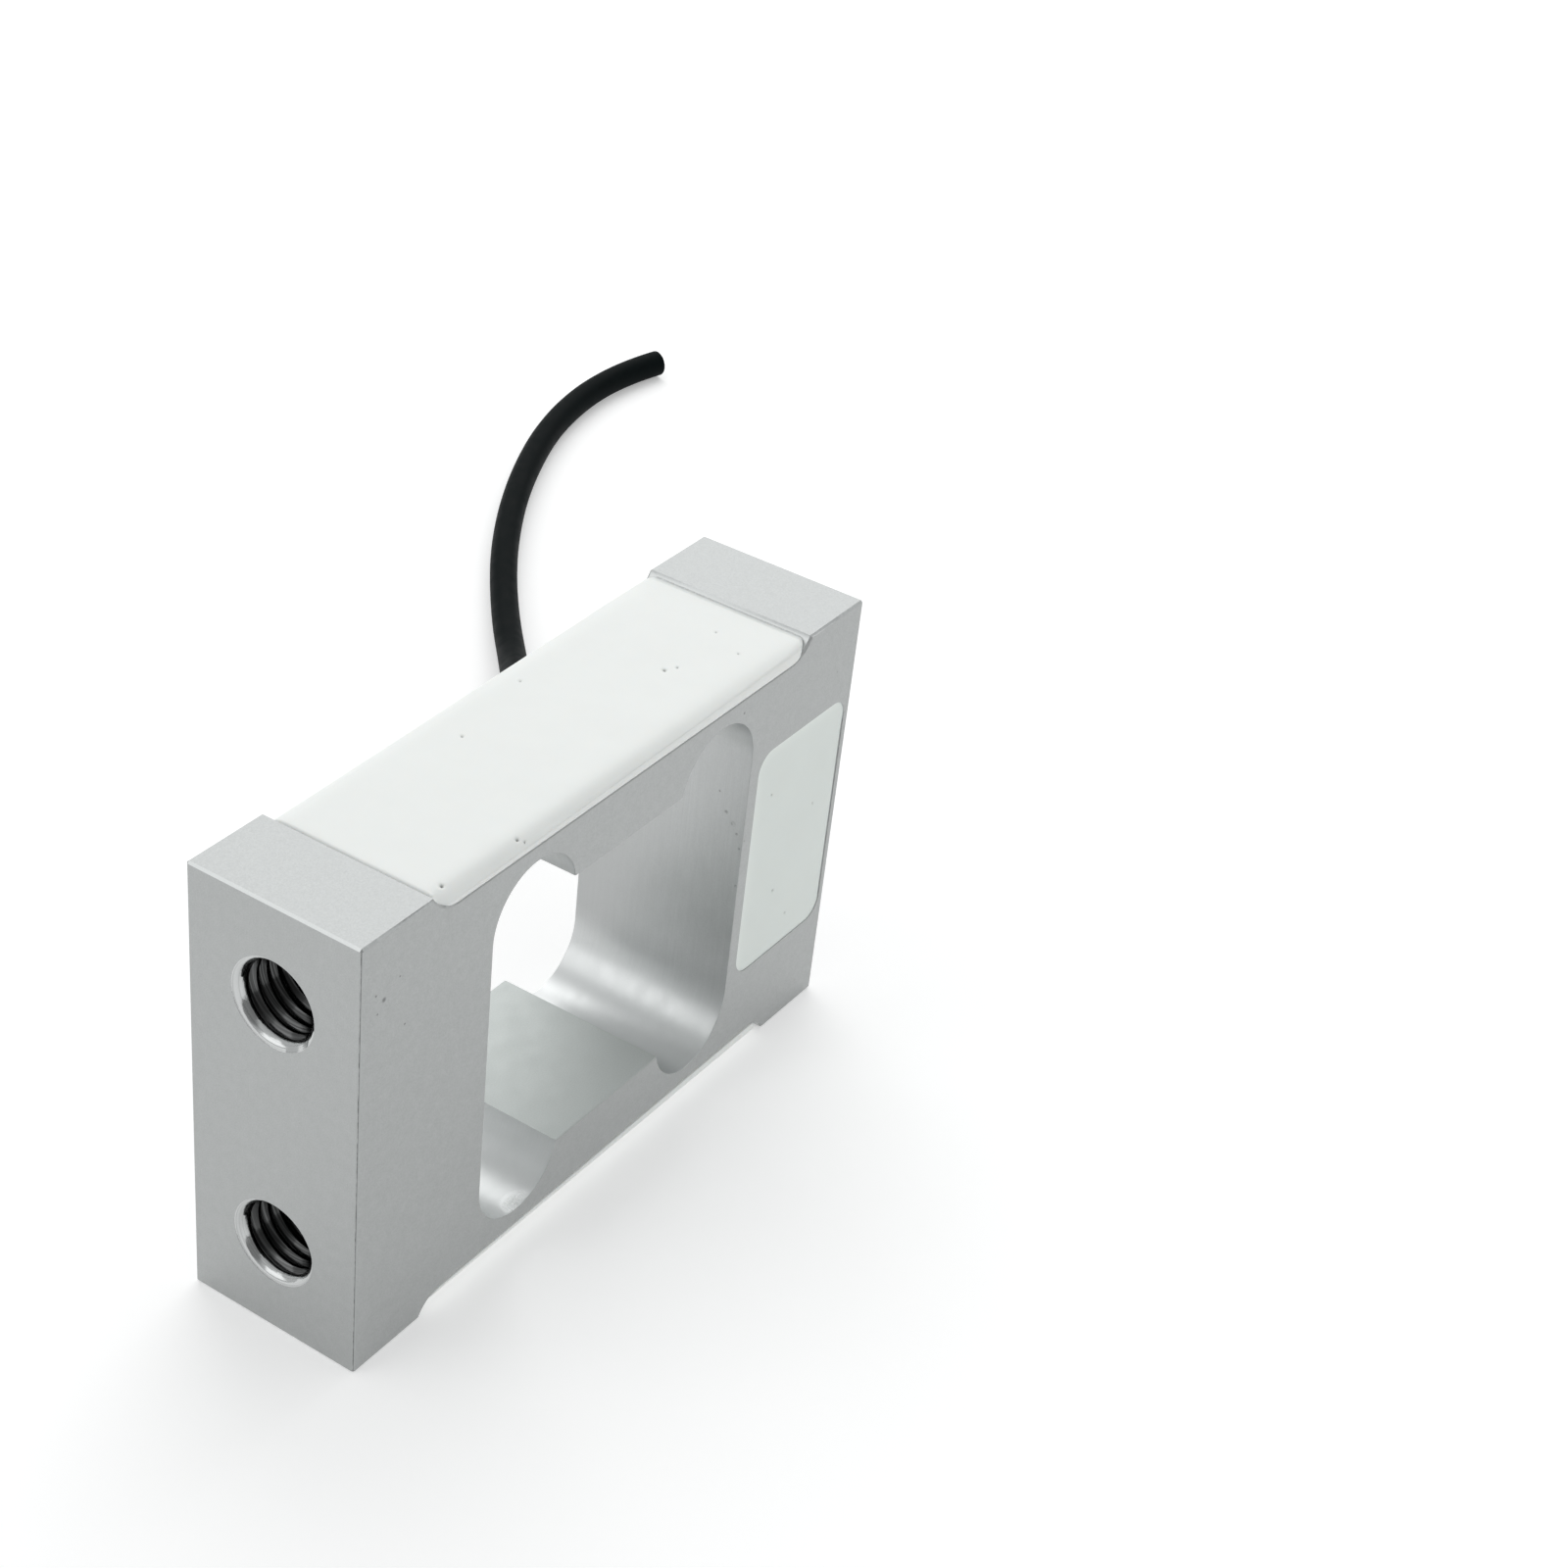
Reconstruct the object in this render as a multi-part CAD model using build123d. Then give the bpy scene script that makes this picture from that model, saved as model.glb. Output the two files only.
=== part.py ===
from build123d import *
import math
import os

# Single point load cell. X runs along the bar, Y across it, Z up, in millimetres.
# The origin is the middle of the bar's underside. The near end is at -X, the front side at -Y.

# Bar: an open window between two solid ends
window_length = 53.9
end_length = 23.85
bar_width = 25.4
bar_height = 63.5
edge_break = 0.3

# Shallow recess along the top and the bottom, between the flat lands at the ends
land_length = 12.5
recess_depth = 2.5
recess_cutter_radius = 5.0

# Beams over and under the window, with a round lobe in each corner over a thin bending web
beam_thickness = 8.7
lobe_radius = 8.0
web_thickness = 2.4

# Tapped mounting holes, two in a vertical line in each end face
tap_drill_radius = 5.1
tap_chamfer = 1.05
tap_spacing = 36.0
tap_depth = 16.0
drill_point_angle = 118.0

# Wiring pocket in the front side of the far end
pocket_window_wall = 2.0
pocket_end_wall = 1.2
pocket_height = 35.5
pocket_depth = 5.0
pocket_corner_radius = 3.0

# Drilled ways between the recesses and the pocket for the gauge leads
lead_hole_radius = 1.25
lead_hole_inset = 3.05
lead_hole_stand_off = 1.4

# Cable, and the bore in the back side that it comes out of
cable_diameter = 4.8
cable_inset = 7.8
bore_clearance = 0.1
seal_wall = 1.6
seal_depth = 4.0
jacket_wall = 0.6
braid_thickness = 0.15
core_gap = 0.1
core_play = 0.25
ferrule_wall = 0.9
ferrule_length = 1.2
jacket_stand_out = 0.2
hidden_sleeve_sides = 24

# White silicone in the recesses and the pocket
fill_gap = 0.6
fill_edge_radius = 1.7
fill_corner_radius = 3.0
pocket_fill_gap = 0.1

# Strain gauges, one over each web
grid_length = 5.0
grid_folds = 4
strand_width = 0.18
strand_gap = 0.12
end_loop = 0.4
foil_thickness = 0.02
tab_length = 1.2
tab_width = 1.5
tab_pitch = 2.2
tab_gap = 0.3
carrier_margin = 0.35
carrier_thickness = 0.06

# Solder terminal beside each gauge, with ribbons from the gauge
terminal_gap = 1.2
terminal_pad_length = 2.2
ribbon_width = 0.4
ribbon_thickness = 0.05
ribbon_lap = 0.8
solder_radius = 0.55
solder_height = 0.55
solder_slope = 20.0

# Gauge leads, in flat lanes along the recess floor and down to the bridge board
wire_sides = 6
lead_diameter = 0.4
lead_lift = 0.05
lead_pitch = 0.5
lead_turn = 1.4
lead_stagger = 0.75
lead_exit = 0.8

# Bridge board on the pocket floor
board_side_gap = 1.05
board_end_gap = 2.5
board_ferrule_gap = 0.8
board_thickness = 1.0
pad_thickness = 0.1
pad_margin = 0.3
lead_pad_size = 1.2
core_pad_length = 2.2
core_pad_width = 1.8
core_pad_pitch = 3.2
core_turn = 0.7
core_layer_gap = 0.2
drain_diameter = 0.6

# Chip resistors on the board
resistor_length = 3.2
resistor_width = 1.6
resistor_height = 0.55
resistor_cap = 0.5
resistor_pitch = 6.0
resistor_inset = 1.8

# Cable route beyond the back side: straight out, down to the bench and along it
cable_exit_run = 14.7
cable_route = [
    (49.4, 40.6, 27.8),
    (64.5, 51.6, 15.6),
    (84.0, 66.4, 4.8),
    (102.0, 82.5, 2.5),
    (120.0, 96.5, 2.5),
    (141.0, 109.1, 2.5),
    (165.0, 119.3, 2.5),
    (188.0, 122.5, 2.5),
    (199.5, 119.5, 2.5),
]

# Places worked out from the sizes above
bar_length = window_length + 2 * end_length
half_length = bar_length / 2
half_width = bar_width / 2
mid_height = bar_height / 2
recess_floor = bar_height - recess_depth
recess_reach = half_length - land_length
recess_run_out = math.sqrt(recess_cutter_radius**2 - (recess_cutter_radius - recess_depth) ** 2)
window_height = bar_height - 2 * (recess_depth + beam_thickness)
lobe_x = window_length / 2 - lobe_radius
lobe_height = mid_height - recess_depth - web_thickness - lobe_radius
pocket_length = end_length - pocket_window_wall - pocket_end_wall
pocket_start_x = window_length / 2 + pocket_window_wall
pocket_floor_y = -half_width + pocket_depth
foil_base = recess_floor + carrier_thickness
foil_top = foil_base + foil_thickness
lead_height = foil_top + lead_lift + lead_diameter / 2
cable_x = half_length - cable_inset
cable_radius = cable_diameter / 2
seal_radius = cable_radius + seal_wall
ferrule_radius = cable_radius + ferrule_wall
braid_radius = cable_radius - jacket_wall
braid_bore = braid_radius - braid_thickness
core_radius = (braid_bore - core_play - core_gap / math.sqrt(2)) / (1 + math.sqrt(2))
core_offset = core_radius + core_gap / 2
board_start_x = pocket_start_x + board_side_gap
board_end_x = cable_x - ferrule_radius - board_ferrule_gap
board_half = pocket_height / 2 - board_end_gap
board_face_y = pocket_floor_y - board_thickness
pad_face_y = board_face_y - pad_thickness
lead_pad_height = board_half - pad_margin - lead_pad_size / 2
core_pad_x = board_end_x - pad_margin - core_pad_width / 2
lead_hole_x = pocket_start_x + lead_hole_inset
lead_hole_y = pad_face_y - lead_hole_stand_off
jacket_end_y = pocket_floor_y - ferrule_length - jacket_stand_out
core_layer_y = jacket_end_y - core_turn
core_pad_heights = [(1.5 - row) * core_pad_pitch for row in range(5)]


def block(x_range, y_range, z_range):
    """Box between two values on each axis."""
    ranges = (x_range, y_range, z_range)
    size = [high - low for low, high in ranges]
    middle = [(high + low) / 2 for low, high in ranges]
    return Pos(*middle) * Box(*size)


def across(outline, width, height):
    """Side view outline, drawn about the given height, run through the given width."""
    return Pos(0, 0, height) * extrude(Plane.XZ * outline, width / 2, both=True)


def rod(start, direction, radius, length):
    """Round bar from a point along a direction."""
    return extrude(Plane(origin=start, z_dir=direction) * Circle(radius), length)


def wire(points, radius):
    """Thin wire along straight runs with mitred corners, many-sided as there are so many."""
    path = Polyline(*points)
    section = Plane(origin=path @ 0, z_dir=path % 0) * RegularPolygon(radius, wire_sides)
    return sweep(section, path, transition=Transition.RIGHT)


def flipped(shape):
    """The same shape under the bar instead of on top of it."""
    return mirror(shape, about=Plane.XY.offset(mid_height))


def cut_from(stock, tools):
    """Stock less each tool in turn."""
    for tool in tools:
        stock -= tool
    return stock


def recess_tool(width):
    """Path of the round-nosed cutter that makes the bottom recess."""
    travel = SlotCenterToCenter(2 * (recess_reach - recess_run_out), 2 * recess_cutter_radius)
    return across(travel, width, recess_depth - recess_cutter_radius)


def tapped_hole(side, level):
    """Drilled hole with its drill point and the chamfer at its mouth."""
    inward = (-side, 0, 0)
    mouth = (half_length * side, 0, level)
    bottom = ((half_length - tap_depth) * side, 0, level)
    on_base = (Align.CENTER, Align.CENTER, Align.MIN)
    point_length = tap_drill_radius / math.tan(math.radians(drill_point_angle / 2))
    point = Cone(tap_drill_radius, 0, point_length, align=on_base)
    chamfer_cone = Cone(tap_drill_radius + tap_chamfer, tap_drill_radius, tap_chamfer, align=on_base)
    hole = rod(mouth, inward, tap_drill_radius, tap_depth)
    hole += Plane(origin=bottom, z_dir=inward) * point
    return hole + Plane(origin=mouth, z_dir=inward) * chamfer_cone


def pocket_tool(front_y):
    """Wiring pocket from its floor out to a given depth of the front side."""
    middle = (pocket_start_x + pocket_length / 2, pocket_floor_y, mid_height)
    plane = Plane(origin=middle, x_dir=(1, 0, 0), z_dir=(0, -1, 0))
    outline = RectangleRounded(pocket_length, pocket_height, pocket_corner_radius)
    return extrude(plane * outline, pocket_floor_y - front_y)


def make_spring_element():
    """Bar with its recesses, window, tapped holes, pocket and drilled ways."""
    bar = block((-half_length, half_length), (-half_width, half_width), (0, bar_height))
    recess = recess_tool(bar_width)
    bar -= [recess, flipped(recess)]
    sides = bar.faces().sort_by(Axis.Y)
    end_faces = bar.faces().sort_by(Axis.X)
    end_edges = (end_faces[0].edges() + end_faces[-1].edges()).filter_by(Axis.Y)
    bar = chamfer(sides[0].edges() + sides[-1].edges() + end_edges, edge_break)

    window = Rectangle(window_length, 2 * lobe_height) + Rectangle(2 * lobe_x, window_height)
    for x in (-lobe_x, lobe_x):
        for z in (-lobe_height, lobe_height):
            window += Pos(x, z) * Circle(lobe_radius)
    bar -= across(window, bar_width, mid_height)

    levels = (mid_height - tap_spacing / 2, mid_height + tap_spacing / 2)
    bar -= [tapped_hole(side, level) for side in (-1, 1) for level in levels]
    bar -= pocket_tool(-half_width)

    back = (cable_x, half_width, mid_height)
    bar -= rod(back, (0, -1, 0), cable_radius + bore_clearance, half_width - pocket_floor_y)
    bar -= rod(back, (0, -1, 0), seal_radius, seal_depth)
    lead_way = rod((lead_hole_x, lead_hole_y, mid_height), (0, 0, 1), lead_hole_radius, mid_height)
    return bar - [lead_way, flipped(lead_way)]


def make_grid():
    """Foil grid along X: strands folded back and forth, ending in two solder tabs."""
    pitch = strand_width + strand_gap
    strands = 2 * grid_folds
    outer = (strands - 1) / 2 * pitch
    reach = grid_length / 2
    run = end_loop + tab_gap
    foil = Sketch()
    for strand in range(strands):
        foil += Pos(0, strand * pitch - outer) * Rectangle(grid_length, strand_width)
    for loop in range(strands - 1):
        end = 1 if loop % 2 else -1
        place = Pos(end * (reach + end_loop / 2), (loop + 0.5) * pitch - outer)
        foil += place * Rectangle(end_loop, pitch + strand_width)
    for side in (-1, 1):
        foil += Pos(reach + run / 2, side * outer) * Rectangle(run, strand_width)
        tab = Pos(reach + run + tab_length / 2, side * tab_pitch / 2)
        foil += tab * Rectangle(tab_length, tab_width)
    return extrude(foil, foil_thickness)


def make_gauge():
    """Gauge and terminal on the top recess floor, with the gauge at X = 0."""
    tabs_start = grid_length / 2 + end_loop + tab_gap
    carrier = (-grid_length / 2 - end_loop - carrier_margin, tabs_start + tab_length + carrier_margin)
    strip = (carrier[1] + terminal_gap, carrier[1] + terminal_gap + terminal_pad_length + 2 * carrier_margin)
    pad = (strip[0] + carrier_margin, strip[1] - carrier_margin)
    half = (tab_pitch + tab_width) / 2 + carrier_margin
    dot_x = pad[1] - solder_radius
    pads, ribbons, dots = [], [], []
    for y in (-tab_pitch / 2, tab_pitch / 2):
        pads.append(block(pad, (y - tab_width / 2, y + tab_width / 2), (foil_base, foil_top)))
        ribbon = (tabs_start + tab_length - ribbon_lap, pad[0] + ribbon_lap)
        ribbon_sides = (y - ribbon_width / 2, y + ribbon_width / 2)
        ribbons.append(block(ribbon, ribbon_sides, (foil_top, foil_top + ribbon_thickness)))
        mound = Pos(dot_x, y, foil_top) * RegularPolygon(solder_radius, wire_sides)
        dots.append(extrude(mound, solder_height, taper=solder_slope))
    pieces = {
        "gauge_carrier": [block(carrier, (-half, half), (recess_floor, foil_base))],
        "gauge_grid": [Pos(0, 0, foil_base) * make_grid()],
        "terminal_strip": [block(strip, (-half, half), (recess_floor, foil_base))],
        "terminal_pads": pads,
        "gauge_ribbons": ribbons,
        "solder_dots": dots,
    }
    return pieces, dot_x


def lead_wire(gauge_x, side, dot_x, y, step, lane):
    """Lead from a terminal, along its lane, down the drilled way to the board."""
    lane_y = lead_hole_y + (lane - 1.5) * lead_pitch
    pad_pitch = (board_end_x - board_start_x - 2 * pad_margin - lead_pad_size) / 3
    pad_x = board_start_x + pad_margin + lead_pad_size / 2 + lane * pad_pitch
    start_x = gauge_x + side * dot_x
    turn_x = start_x + side * (lead_turn + step * lead_stagger)
    exit_z = mid_height + pocket_height / 2 - lead_exit
    pad_z = mid_height + lead_pad_height
    points = [
        (start_x, y, lead_height),
        (turn_x, y, lead_height),
        (turn_x, lane_y, lead_height),
        (lead_hole_x, lane_y, lead_height),
        (lead_hole_x, lane_y, exit_z),
        (pad_x, lane_y, pad_z),
        (pad_x, pad_face_y, pad_z),
    ]
    return wire(points, lead_diameter / 2)


def make_recess_fill(inner):
    """Silicone in the top recess, rounded along its sides and at its corners."""
    height = recess_depth - fill_gap
    level = (recess_floor, recess_floor + height)
    fill = flipped(recess_tool(bar_width))
    fill &= block((-recess_reach, recess_reach), (-half_width, half_width), level)
    section = Rectangle(bar_width, height)
    section = fillet(section.vertices().group_by(Axis.Y)[-1], min(fill_edge_radius, 0.9 * height))
    end = Plane(origin=(-recess_reach, 0, sum(level) / 2), x_dir=(0, 1, 0), z_dir=(1, 0, 0))
    fill &= extrude(end * section, 2 * recess_reach)
    plan = Pos(0, 0, recess_floor) * RectangleRounded(2 * recess_reach, bar_width, fill_corner_radius)
    fill &= extrude(plan, height)
    return cut_from(fill, inner)


def make_pad(x, height, width, length):
    """Copper pad on the bridge board."""
    z = mid_height + height
    x_range = (x - width / 2, x + width / 2)
    return block(x_range, (pad_face_y, board_face_y), (z - length / 2, z + length / 2))


def make_board():
    """Bridge board and its copper pads for the leads, the cores and the drain wire."""
    board_z = (mid_height - board_half, mid_height + board_half)
    board = block((board_start_x, board_end_x), (board_face_y, pocket_floor_y), board_z)
    first = board_start_x + pad_margin + lead_pad_size / 2
    last = board_end_x - pad_margin - lead_pad_size / 2
    pads = []
    for lane in range(4):
        x = first + (last - first) * lane / 3
        for end in (-1, 1):
            pads.append(make_pad(x, end * lead_pad_height, lead_pad_size, lead_pad_size))
    for height in core_pad_heights:
        pads.append(make_pad(core_pad_x, height, core_pad_width, core_pad_length))
    return board, pads


def make_resistor(height):
    """Chip resistor on the board and its two end caps."""
    x = board_start_x + resistor_inset + resistor_width / 2
    x_range = (x - resistor_width / 2, x + resistor_width / 2)
    y_range = (board_face_y - resistor_height, board_face_y)
    z = mid_height + height
    body = resistor_length / 2 - resistor_cap
    chip = block(x_range, y_range, (z - body, z + body))
    low_cap = block(x_range, y_range, (z - resistor_length / 2, z - body))
    high_cap = block(x_range, y_range, (z + body, z + resistor_length / 2))
    return chip, [low_cap, high_cap]


def sleeve(start, direction, radius, bore, length):
    """Round sleeve from a point along a direction."""
    return rod(start, direction, radius, length) - rod(start, direction, bore, length)


def hidden_sleeve(start, radius, bore, length):
    """Sleeve along the cable inside the bar, many-sided as it never shows."""
    plane = Plane(origin=start, z_dir=(0, -1, 0))
    ring = RegularPolygon(radius, hidden_sleeve_sides) - RegularPolygon(bore, hidden_sleeve_sides)
    return extrude(plane * ring, length)


def make_core(side, up, pad_height):
    """One insulated core, from the back side through the cable to its pad."""
    x = cable_x + side * core_offset
    z = mid_height + up * core_offset
    layer_y = core_layer_y
    if side > 0:
        layer_y -= 2 * core_radius + core_layer_gap
    pad_z = mid_height + pad_height
    points = [
        (x, half_width, z),
        (x, layer_y, z),
        (core_pad_x, layer_y, pad_z),
        (core_pad_x, pad_face_y, pad_z),
    ]
    return wire(points, core_radius)


def make_drain_wire():
    """Bare wire from the end of the braid to its pad."""
    start_z = mid_height - (braid_radius + braid_bore) / 2
    pad_z = mid_height + core_pad_heights[-1]
    points = [
        (cable_x, jacket_end_y, start_z),
        (cable_x, core_layer_y, start_z),
        (core_pad_x, core_layer_y, pad_z),
        (core_pad_x, pad_face_y, pad_z),
    ]
    return wire(points, drain_diameter / 2)


def make_cable():
    """Free cable from the back side to its plain cut end on the bench."""
    points = [Vector(cable_x, half_width + run, mid_height) for run in (0, cable_exit_run)]
    points += [Vector(*point) for point in cable_route]
    radii = []
    for before, corner, after in zip(points, points[1:], points[2:]):
        run_in, run_on = corner - before, after - corner
        half_turn = math.radians(run_in.get_angle(run_on)) / 2
        radii.append(0.45 * min(run_in.length, run_on.length) / math.tan(half_turn))
    path = FilletPolyline(*points, radius=radii)
    cable = sweep(Plane(origin=path @ 0, z_dir=path % 0) * Circle(cable_radius), path)
    print("cable radii", [round(radius, 1) for radius in radii])
    print("cable length", round(path.length, 2), "volume", round(cable.volume, 1))
    print("section times length", round(math.pi * cable_radius**2 * path.length, 1))
    return cable


nodes = {"spring_element": [make_spring_element()]}

# Gauges at both ends of the top recess, each pair of leads in its own lanes
leads = []
pieces, dot_x = make_gauge()
for place, gauge_x, side, lanes in (("near", -lobe_x, 1, (0, 1)), ("far", lobe_x, -1, (3, 2))):
    for step, (y, lane) in enumerate(zip((-tab_pitch / 2, tab_pitch / 2), lanes)):
        leads.append(lead_wire(gauge_x, side, dot_x, y, step, lane))
    for kind, solids in pieces.items():
        turned = solids if side > 0 else [mirror(solid, about=Plane.YZ) for solid in solids]
        nodes[f"{kind}_top_{place}"] = [Pos(gauge_x, 0, 0) * solid for solid in turned]
    dots = nodes[f"solder_dots_top_{place}"]
    nodes[f"solder_dots_top_{place}"] = [cut_from(dot, leads) for dot in dots]
nodes["gauge_leads_top"] = leads

on_top = [solid for name, solids in nodes.items() if "_top" in name for solid in solids]
nodes["silicone_top"] = [make_recess_fill(on_top)]

# The same under the bar
for name in [name for name in nodes if "_top" in name]:
    nodes[name.replace("_top", "_bottom")] = [flipped(solid) for solid in nodes[name]]

board, pads = make_board()
nodes["bridge_board"] = [board]
nodes["board_pads"] = pads
nodes["resistor_end_caps"] = []
for row, name in enumerate(("zero_resistor", "span_resistor", "temperature_resistor")):
    chip, caps = make_resistor((1 - row) * resistor_pitch)
    nodes[name] = [chip]
    nodes["resistor_end_caps"] += caps

# Cable end inside the bar, measured from the back side and from the pocket floor
back = (cable_x, half_width, mid_height)
floor = (cable_x, pocket_floor_y, mid_height)
inner_length = half_width - jacket_end_y
nodes["cable_jacket_inner"] = [hidden_sleeve(back, cable_radius, braid_radius, inner_length)]
nodes["cable_braid"] = [hidden_sleeve(back, braid_radius, braid_bore, inner_length)]
nodes["cable_seal"] = [sleeve(back, (0, -1, 0), seal_radius, cable_radius, seal_depth)]
nodes["cable_ferrule"] = [hidden_sleeve(floor, ferrule_radius, cable_radius, ferrule_length)]
core_places = {"red": (1, 1), "green": (-1, 1), "white": (-1, -1), "black": (1, -1)}
for (colour, (side, up)), pad_height in zip(core_places.items(), core_pad_heights):
    nodes[f"core_{colour}"] = [make_core(side, up, pad_height)]
nodes["drain_wire"] = [make_drain_wire()]

outside_pocket = ("spring", "gauge_c", "gauge_g", "gauge_r", "terminal", "solder", "silicone")
pocket_nodes = [name for name in nodes if not name.startswith(outside_pocket)]
in_pocket = [solid for name in pocket_nodes for solid in nodes[name]]
nodes["silicone_pocket"] = [cut_from(pocket_tool(-half_width + pocket_fill_gap), in_pocket)]
nodes["cable"] = [make_cable()]

os.makedirs("parts", exist_ok=True)
for name, shapes in nodes.items():
    solids = [solid for shape in shapes for solid in shape.solids()]
    export_step(solids[0] if len(solids) == 1 else Compound(solids), f"parts/{name}.step")
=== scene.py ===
import math

import bmesh
import bpy
from bpy.props import FloatProperty, FloatVectorProperty, IntProperty, PointerProperty
from mathutils import Matrix, Vector, noise


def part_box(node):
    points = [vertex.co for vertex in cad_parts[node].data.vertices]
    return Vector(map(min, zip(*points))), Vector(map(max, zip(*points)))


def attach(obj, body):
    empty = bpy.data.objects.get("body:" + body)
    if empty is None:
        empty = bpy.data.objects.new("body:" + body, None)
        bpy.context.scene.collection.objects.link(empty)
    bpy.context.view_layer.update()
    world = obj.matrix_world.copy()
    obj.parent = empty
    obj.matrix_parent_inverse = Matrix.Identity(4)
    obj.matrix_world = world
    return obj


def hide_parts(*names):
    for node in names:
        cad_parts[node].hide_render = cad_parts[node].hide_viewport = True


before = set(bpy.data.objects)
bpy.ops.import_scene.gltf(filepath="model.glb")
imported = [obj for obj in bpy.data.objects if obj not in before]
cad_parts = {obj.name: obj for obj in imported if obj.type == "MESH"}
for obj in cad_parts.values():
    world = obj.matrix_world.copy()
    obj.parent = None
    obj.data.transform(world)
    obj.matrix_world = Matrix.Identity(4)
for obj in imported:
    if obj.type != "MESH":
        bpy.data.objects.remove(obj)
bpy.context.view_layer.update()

bl_info = {
    "name": "Single Point Load Cell",
    "version": (1, 0, 0),
    "blender": (4, 5, 0),
    "location": "View3D > Sidebar > Load Cell",
    "description": "Dresses a machined bar load cell with its threads, silicone covers and cable",
    "category": "Add Mesh",
}

MM = 0.001

# Tolerances for corners that coincide, planes that cut and places that lie close by
MERGE_DISTANCE = 0.002 * MM
CUT_DISTANCE = 1e-7
NEARBY = 0.1 * MM

# Angles between faces: all but flat, creased, creased in soft silicone, and a sharp corner
FLAT_ANGLE = math.radians(0.2)
CREASE_ANGLE = math.radians(32)
SOFT_CREASE_ANGLE = math.radians(66)
CORNER_ANGLE = math.radians(60)

# Part of a face's direction along an axis: straight along it, and all but square to it
STRAIGHT = 0.98
ACROSS = 0.1

# Range in which most values of a noise grain lie
GRAIN_LOW = 0.3
GRAIN_HIGH = 0.7

# The bar's finishes, in the order of its material slots
BLASTED, MILLED, BEAM, THREADED, PAINTED_HIGHLIGHT, PAINTED_DARK_LINE = range(6)

# Places on the bar, from the middle of its length and of its height
bar_low, bar_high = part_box("spring_element")
bar_middle = (bar_low + bar_high) / 2
mid_height = bar_middle.z
window_half_length = 26.95 * MM
window_half_height = 20.55 * MM
lobe_reach = 27.9 * MM
mouth_radius = 6.15 * MM
mounting_hole_levels = (-18.0 * MM, 18.0 * MM)
land_start = bar_high.x - 12.5 * MM
recess_depth = 2.5 * MM
run_out_radius = 5.0 * MM
run_out_axis_x = land_start - 4.33 * MM
run_out_axis_height = mid_height + run_out_radius - recess_depth

# Cable's points: straight out of the back side, down to the bench and along it
cable_route = [
    (43.0, 12.7, 31.75),
    (43.0, 27.4, 31.75),
    (49.4, 40.6, 27.8),
    (64.5, 51.6, 15.6),
    (84.0, 66.4, 4.8),
    (102.0, 82.5, 2.5),
    (120.0, 96.5, 2.5),
    (141.0, 109.1, 2.5),
    (165.0, 119.3, 2.5),
    (188.0, 122.5, 2.5),
    (199.5, 119.5, 2.5),
]
cable_exit = Vector(cable_route[0]) * MM

# Pinholes in the silicone, as places on its face and how wide each one is
top_pinholes = [
    (-34.9, -10.9, 0.34),
    (-21.9, -11.5, 0.28),
    (-21.2, -12.1, 0.15),
    (19.4, -3.0, 0.34),
    (21.0, -3.8, 0.22),
    (-9.5, 6.3, 0.24),
    (5.2, 8.8, 0.2),
    (31.4, -2.6, 0.18),
    (28.9, -7.7, 0.16),
]
bottom_pinholes = [
    (-28.0, 7.1, 0.3),
    (12.6, -9.4, 0.24),
    (30.2, 2.2, 0.3),
]
pocket_pinholes = [
    (33.4, 41.6, 0.2),
    (36.9, 24.3, 0.26),
    (44.8, 34.6, 0.2),
    (41.0, 18.4, 0.18),
]

# Dark pits in the front side, as places on it and how wide each one is
side_pits = [
    (-46.8, 54.6, 0.46),
    (-48.2, 55.9, 0.2),
    (-47.9, 53.2, 0.18),
    (-44.1, 56.3, 0.16),
    (-43.0, 49.0, 0.2),
    (23.6, 58.8, 0.22),
]

# Scuffs on the far wall of the window, as places on it and how wide each one is
wall_scuffs = [
    (-10.9, 39.6, 0.5),
    (-9.7, 40.9, 0.4),
    (-11.6, 38.3, 0.3),
    (-12.3, 36.2, 0.35),
    (-12.4, 30.3, 0.3),
    (-8.4, 43.6, 0.25),
]

# Chips in the near lower lobe, as a place on the front side and how wide
lobe_chips = (-18.2, 4.9, 2.6)

# How the silicone of a recess is divided and shaped
skin_depth = 1.0 * MM
face_depth = 0.9 * MM
cover_step = 1.1 * MM
edge_rows = [0.35 * MM, 0.8 * MM, 1.3 * MM, 1.9 * MM, 2.6 * MM, 3.4 * MM]
rolled_height = 1.75 * MM
near_edge_drop = 1.5 * MM
edge_drop_lost = 0.95 * MM
roll_lost = 0.42
far_end_fade = 4.0 * MM
end_fade = 1.2 * MM
end_lip_width = 0.7 * MM
end_lip_height = 0.05 * MM
fall_power = 2.4
broad_waves_per_metre = 95.0
fine_waves_per_metre = 260.0
fine_wave_share = 0.5

# How the silicone of the pocket is divided and shaped
pocket_step = 1.2 * MM
pocket_rows = [0.25 * MM, 0.6 * MM, 1.1 * MM, 1.8 * MM]
pocket_corner_radius = 3.0 * MM
pocket_rim_width = 0.9 * MM
pocket_waves_per_metre = 110.0

# Light tent: where its open front is, and the cosines between which its brightness changes
tent_front = (-0.7, -0.66, 0.27)
tent_fade = (0.7, 0.9)
tent_colour = (0.985, 1.0, 1.0, 1.0)

# Soft lights: direction from the bar, distance and width in metres
key_stand = ((0.664, 0.436, 0.72), 1.25, 1.3)
fill_stand = ((-0.75, 0.45, 0.52), 1.2, 0.85)


def length_setting(name, description, default, limits):
    """A small length, with its default and limits given in millimetres."""
    return FloatProperty(
        name=name,
        description=description,
        default=default * MM,
        min=limits[0] * MM,
        max=limits[1] * MM,
        precision=5,
        unit="LENGTH",
    )


def colour_setting(name, description, default):
    """A colour without transparency."""
    return FloatVectorProperty(
        name=name,
        description=description,
        default=default,
        min=0.0,
        max=1.0,
        size=3,
        subtype="COLOR",
    )


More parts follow.
